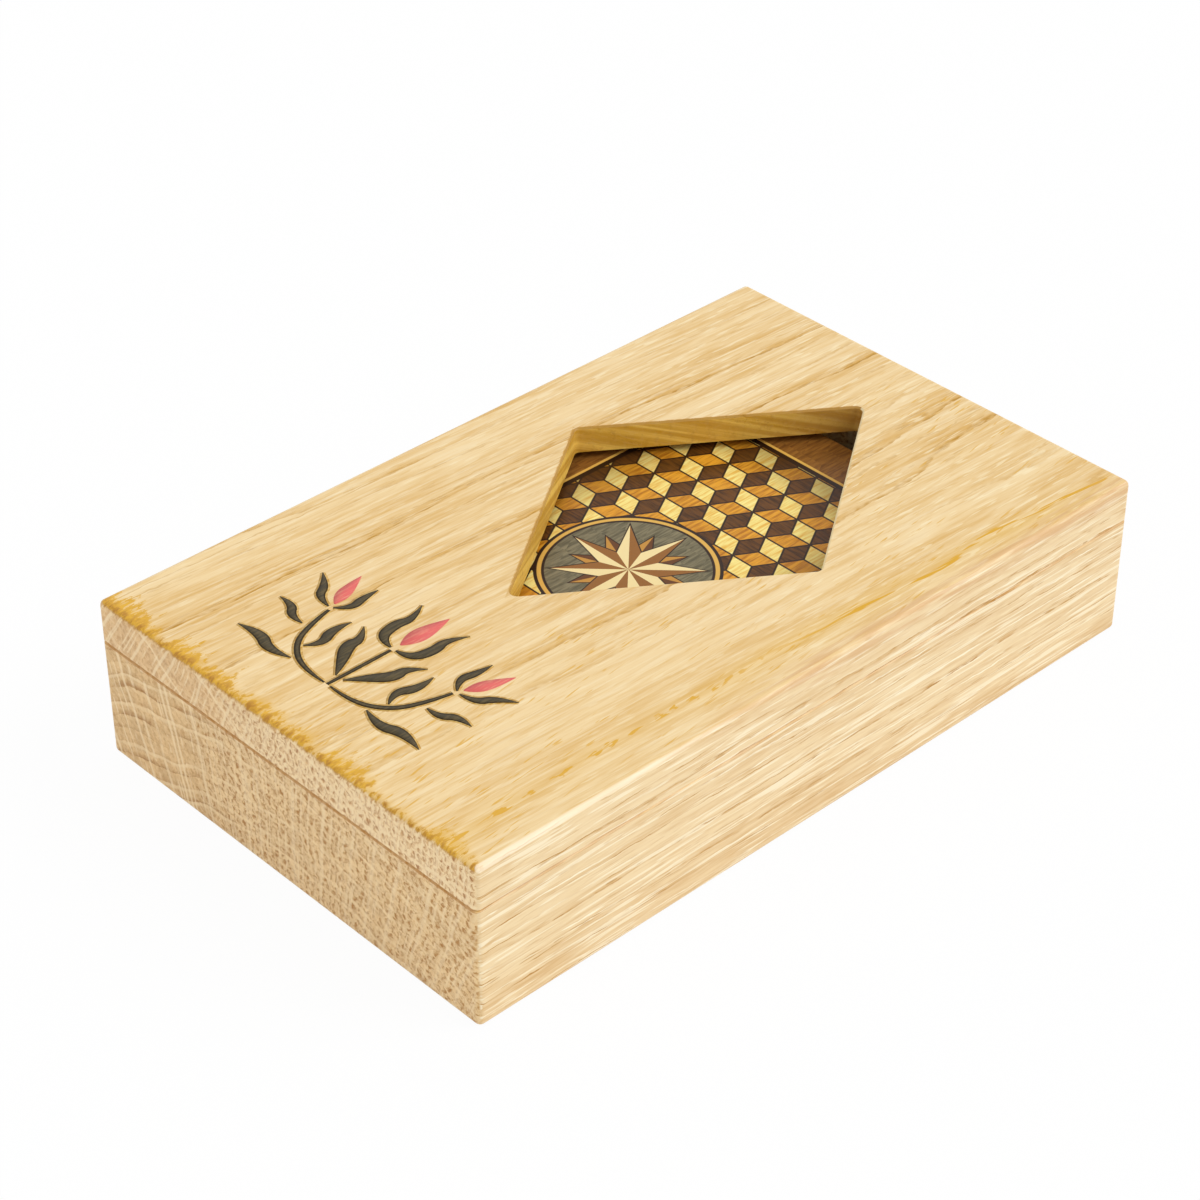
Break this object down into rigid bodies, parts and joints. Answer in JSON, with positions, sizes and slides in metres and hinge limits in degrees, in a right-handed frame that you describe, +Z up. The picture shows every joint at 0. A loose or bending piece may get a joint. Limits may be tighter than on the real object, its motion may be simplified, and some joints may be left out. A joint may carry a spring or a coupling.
{
  "type": "playing card case",
  "caption": "Flat oak case milled in two halves, with a pocket for a pack of cards, finger scoops and a magnetic lift-off lid that shows the top card through a lozenge window.",
  "frame": {"origin": "middle of the underside of the base", "axes": "+X along the case's length, towards the window's end; +Y along its width; +Z up, the way the lid lifts"},
  "size_m": [0.122, 0.0754, 0.0254],
  "materials": {
    "oak": "oiled satin, pale oak",
    "nickel": "bright nickel plating",
    "card_stock": "coated playing card stock with a printed back"
  },
  "bodies": {
    "base": {"case_base": "oak", "base_magnets": "nickel"},
    "pack": {"two_of_diamonds": "card_stock", "three_of_diamonds": "card_stock", "four_of_diamonds": "card_stock", "five_of_diamonds": "card_stock", "six_of_diamonds": "card_stock", "seven_of_diamonds": "card_stock", "eight_of_diamonds": "card_stock", "nine_of_diamonds": "card_stock", "ten_of_diamonds": "card_stock", "jack_of_diamonds": "card_stock", "queen_of_diamonds": "card_stock", "king_of_diamonds": "card_stock", "ace_of_diamonds": "card_stock", "two_of_clubs": "card_stock", "three_of_clubs": "card_stock", "four_of_clubs": "card_stock", "five_of_clubs": "card_stock", "six_of_clubs": "card_stock", "seven_of_clubs": "card_stock", "eight_of_clubs": "card_stock", "nine_of_clubs": "card_stock", "ten_of_clubs": "card_stock", "jack_of_clubs": "card_stock", "queen_of_clubs": "card_stock", "king_of_clubs": "card_stock", "ace_of_clubs": "card_stock", "two_of_hearts": "card_stock", "three_of_hearts": "card_stock", "four_of_hearts": "card_stock", "five_of_hearts": "card_stock", "six_of_hearts": "card_stock", "seven_of_hearts": "card_stock", "eight_of_hearts": "card_stock", "nine_of_hearts": "card_stock", "ten_of_hearts": "card_stock", "jack_of_hearts": "card_stock", "queen_of_hearts": "card_stock", "king_of_hearts": "card_stock", "ace_of_hearts": "card_stock", "two_of_spades": "card_stock", "three_of_spades": "card_stock", "four_of_spades": "card_stock", "five_of_spades": "card_stock", "six_of_spades": "card_stock", "seven_of_spades": "card_stock", "eight_of_spades": "card_stock", "nine_of_spades": "card_stock", "ten_of_spades": "card_stock", "jack_of_spades": "card_stock", "queen_of_spades": "card_stock", "king_of_spades": "card_stock", "ace_of_spades": "card_stock", "black_joker": "card_stock", "red_joker": "card_stock"},
    "lid": {"case_lid": "oak", "lid_magnets": "nickel"}
  },
  "joints": [
    {"name": "pack_lift", "type": "slide", "parent": "base", "child": "pack", "axis": [0, 0, 1], "range_m": [0, 0.03]},
    {"name": "lid_lift", "type": "slide", "parent": "pack", "child": "lid", "axis": [0, 0, 1], "range_m": [0, 0.06]}
  ]
}
